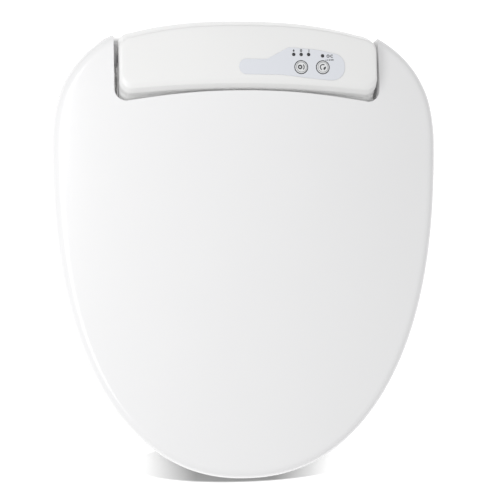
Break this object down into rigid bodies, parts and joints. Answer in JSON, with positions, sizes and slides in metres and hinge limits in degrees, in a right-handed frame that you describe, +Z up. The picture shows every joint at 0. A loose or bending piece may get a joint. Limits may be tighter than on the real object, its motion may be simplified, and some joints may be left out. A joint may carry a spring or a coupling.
{
  "type": "electric bidet seat",
  "caption": "Egg-shaped electric bidet seat with a raised rear console, a control label with buttons and lights, a heated seat ring, a hinged lid and a sliding nozzle.",
  "frame": {"origin": "centre of the footprint on the plane that the seat's bumpers and the console rest on", "axes": "+Z up, -Y towards the front of the seat, +X to the right as seen from the front"},
  "size_m": [0.392, 0.47, 0.1046],
  "materials": {
    "white_plastic": "glossy",
    "seat_plastic": "glossy",
    "inner_plastic": "satin",
    "label_film": "satin",
    "button_plastic": "satin",
    "led_lens": "glossy",
    "rubber": "matt",
    "black_plastic": "matt",
    "circuit_board": "satin",
    "steel": "brushed",
    "foil": "satin",
    "hose_plastic": "satin",
    "filter_plastic": "satin"
  },
  "bodies": {
    "root": {"base_housing": "white_plastic", "rear_cover": "white_plastic", "panel_label": "label_film", "panel_board": "circuit_board", "water_led": "led_lens", "seat_led": "led_lens", "dryer_led": "led_lens", "timer_led": "led_lens", "power_key_switch": "black_plastic", "timer_key_switch": "black_plastic", "cover_screw_1": "steel", "cover_screw_2": "steel", "cover_screw_3": "steel", "cover_screw_4": "steel", "mounting_plate": "inner_plastic", "base_pad_left": "rubber", "base_pad_right": "rubber", "water_inlet": "inner_plastic", "inlet_filter": "filter_plastic", "solenoid_valve": "black_plastic", "supply_hose": "hose_plastic", "water_heater": "steel", "nozzle_hose": "hose_plastic", "nozzle_guide": "inner_plastic", "nozzle_motor": "steel", "blower_housing": "black_plastic", "blower_motor": "steel", "dryer_duct": "inner_plastic", "main_board": "circuit_board", "cord_gland": "black_plastic", "lid_damper": "black_plastic", "seat_damper": "black_plastic"},
    "seat": {"seat_top_shell": "seat_plastic", "seat_bottom_plate": "inner_plastic", "seat_heating_film": "foil", "seat_sensor": "circuit_board", "seat_bumper_1": "rubber", "seat_bumper_2": "rubber", "seat_bumper_3": "rubber", "seat_bumper_4": "rubber", "seat_hinge_shaft": "steel"},
    "lid": {"lid_shell": "white_plastic", "lid_bumper_1": "rubber", "lid_bumper_2": "rubber", "lid_bumper_3": "rubber", "lid_bumper_4": "rubber", "lid_hinge_shaft": "steel"},
    "nozzle": {"nozzle_wand": "inner_plastic", "nozzle_tip": "steel", "nozzle_shield": "white_plastic"},
    "pinion": {"nozzle_pinion": "inner_plastic"},
    "impeller": {"blower_impeller": "inner_plastic"},
    "flap": {"dryer_flap": "white_plastic"},
    "power_key": {"power_button": "button_plastic"},
    "timer_key": {"timer_button": "button_plastic"},
    "release_key": {"release_button": "inner_plastic"}
  },
  "joints": [
    {"name": "seat_hinge", "type": "hinge", "parent": "root", "child": "seat", "pos_m": [0, 0.194, 0.06], "axis": [-1, 0, 0], "range_deg": [0, 100]},
    {"name": "lid_hinge", "type": "hinge", "parent": "seat", "child": "lid", "pos_m": [0, 0.194, 0.06], "axis": [1, 0, 0], "range_deg": [-105, 0]},
    {"name": "nozzle_slide", "type": "slide", "parent": "root", "child": "nozzle", "axis": [0, -0.9659, -0.2588], "range_m": [0, 0.072]},
    {"name": "pinion_spin", "type": "hinge", "parent": "root", "child": "pinion", "pos_m": [0, 0.1337, 0.0345], "axis": [-1, 0, 0], "range_deg": [0, 690]},
    {"name": "blower_spin", "type": "hinge", "parent": "root", "child": "impeller", "pos_m": [0.062, 0.168, 0.025], "axis": [0, 0, 1], "continuous": true},
    {"name": "dryer_flap_swing", "type": "hinge", "parent": "root", "child": "flap", "pos_m": [0.055, 0.1192, 0.0246], "axis": [-1, 0, 0], "range_deg": [0, 60]},
    {"name": "power_button_press", "type": "slide", "parent": "root", "child": "power_key", "axis": [0, 0, -1], "range_m": [0, 0.0008], "stiffness_N_per_m": 400},
    {"name": "timer_button_press", "type": "slide", "parent": "root", "child": "timer_key", "axis": [0, 0, -1], "range_m": [0, 0.0008], "stiffness_N_per_m": 400},
    {"name": "release_button_press", "type": "slide", "parent": "root", "child": "release_key", "axis": [-1, 0, 0], "range_m": [0, 0.004], "stiffness_N_per_m": 300}
  ],
  "couplings": [
    {"joint": "pinion_spin", "follows": "nozzle_slide", "rad_per_m": 166.67}
  ]
}
